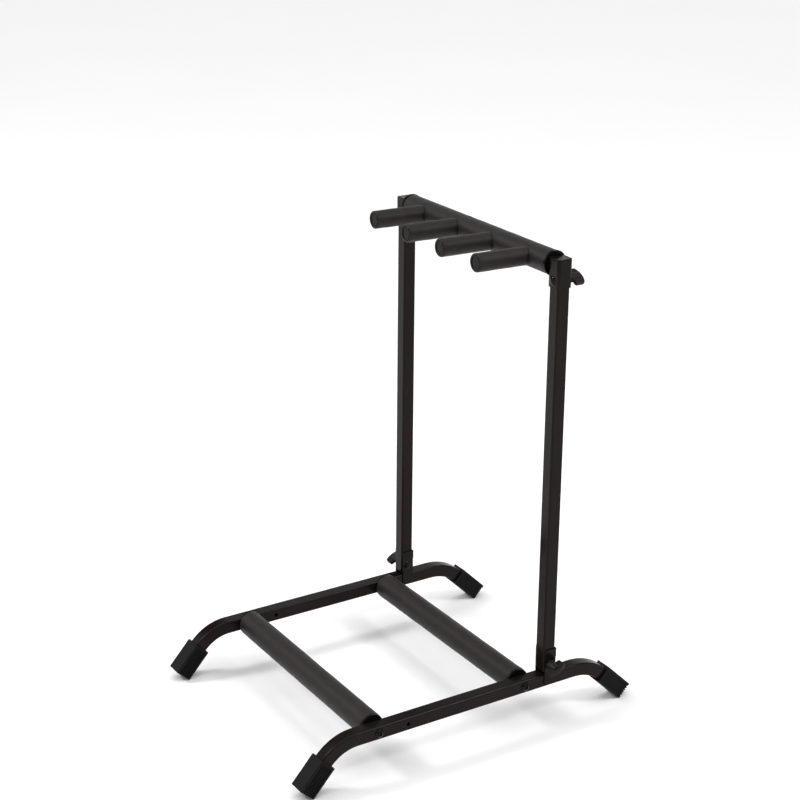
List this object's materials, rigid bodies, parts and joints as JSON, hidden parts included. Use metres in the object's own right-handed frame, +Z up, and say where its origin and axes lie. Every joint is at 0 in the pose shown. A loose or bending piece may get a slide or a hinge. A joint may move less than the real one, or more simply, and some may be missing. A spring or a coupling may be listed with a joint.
{
  "type": "folding guitar rack",
  "caption": "Folding steel rack that holds guitars upright: foam-covered cross tubes carry the bodies and padded arms on a top bar part the necks.",
  "frame": {"origin": "on the floor, under the middle of the base", "axes": "+X across the rack from the left frame to the right one, -Y the way the arms point, +Z up"},
  "size_m": [0.4362, 0.5328, 0.6705],
  "materials": {
    "black_frame_steel": "satin black powder coat",
    "black_foam": "matte closed-cell foam with a fine grain",
    "black_rubber": "matte moulded rubber",
    "black_plastic": "fine moulded texture",
    "knob_plastic": "moulded with grip dots on the blade",
    "black_fasteners": "black zinc",
    "plated_nuts": "zinc plated"
  },
  "bodies": {
    "base": {"base_bar_left": "black_frame_steel", "base_bar_right": "black_frame_steel", "foot_front_left": "black_rubber", "foot_front_right": "black_rubber", "foot_rear_left": "black_rubber", "foot_rear_right": "black_rubber", "cross_tube_front": "black_frame_steel", "cross_tube_rear": "black_frame_steel", "cross_foam_front": "black_foam", "cross_foam_rear": "black_foam", "cross_end_cap_front_left": "black_plastic", "cross_end_cap_front_right": "black_plastic", "cross_end_cap_rear_left": "black_plastic", "cross_end_cap_rear_right": "black_plastic", "cross_tube_bolts": "black_fasteners", "cross_tube_washers": "black_fasteners", "cross_tube_nuts": "plated_nuts", "hinge_bracket_left": "black_frame_steel", "hinge_bracket_right": "black_frame_steel", "pivot_bolt_left": "black_fasteners", "pivot_bolt_right": "black_fasteners", "pivot_washers": "black_fasteners"},
    "upper_frame": {"upright_left": "black_frame_steel", "upright_right": "black_frame_steel", "socket_left": "black_frame_steel", "socket_right": "black_frame_steel", "socket_plug_left": "black_plastic", "socket_plug_right": "black_plastic", "clamp_bolt_left": "black_fasteners", "clamp_bolt_right": "black_fasteners", "clamp_washers": "black_fasteners", "top_bar_tube": "black_frame_steel", "top_bar_foam": "black_foam", "top_bar_end_cap_left": "black_plastic", "top_bar_end_cap_right": "black_plastic", "arm_tube_1": "black_frame_steel", "arm_foam_1": "black_foam", "arm_end_cap_1": "black_plastic", "arm_tube_2": "black_frame_steel", "arm_foam_2": "black_foam", "arm_end_cap_2": "black_plastic", "arm_tube_3": "black_frame_steel", "arm_foam_3": "black_foam", "arm_end_cap_3": "black_plastic", "arm_tube_4": "black_frame_steel", "arm_foam_4": "black_foam", "arm_end_cap_4": "black_plastic"},
    "lower_knob_left": {"lower_wing_knob_left": "knob_plastic", "lower_knob_insert_left": "plated_nuts"},
    "upper_knob_left": {"upper_wing_knob_left": "knob_plastic", "upper_knob_insert_left": "plated_nuts"},
    "lower_knob_right": {"lower_wing_knob_right": "knob_plastic", "lower_knob_insert_right": "plated_nuts"},
    "upper_knob_right": {"upper_wing_knob_right": "knob_plastic", "upper_knob_insert_right": "plated_nuts"}
  },
  "joints": [
    {"name": "upright_fold", "type": "hinge", "parent": "base", "child": "upper_frame", "pos_m": [0, 0.125, 0.088], "axis": [1, 0, 0], "range_deg": [0, 90]},
    {"name": "lower_knob_left_turn", "type": "hinge", "parent": "base", "child": "lower_knob_left", "pos_m": [-0.19655, 0.125, 0.088], "axis": [-1, 0, 0], "continuous": true},
    {"name": "upper_knob_left_turn", "type": "hinge", "parent": "upper_frame", "child": "upper_knob_left", "pos_m": [-0.1842, 0.14285, 0.63445], "axis": [0, 1, -0.0096], "continuous": true},
    {"name": "lower_knob_right_turn", "type": "hinge", "parent": "base", "child": "lower_knob_right", "pos_m": [0.19655, 0.125, 0.088], "axis": [1, 0, 0], "continuous": true},
    {"name": "upper_knob_right_turn", "type": "hinge", "parent": "upper_frame", "child": "upper_knob_right", "pos_m": [0.1842, 0.14285, 0.63445], "axis": [0, 1, -0.0096], "continuous": true}
  ]
}
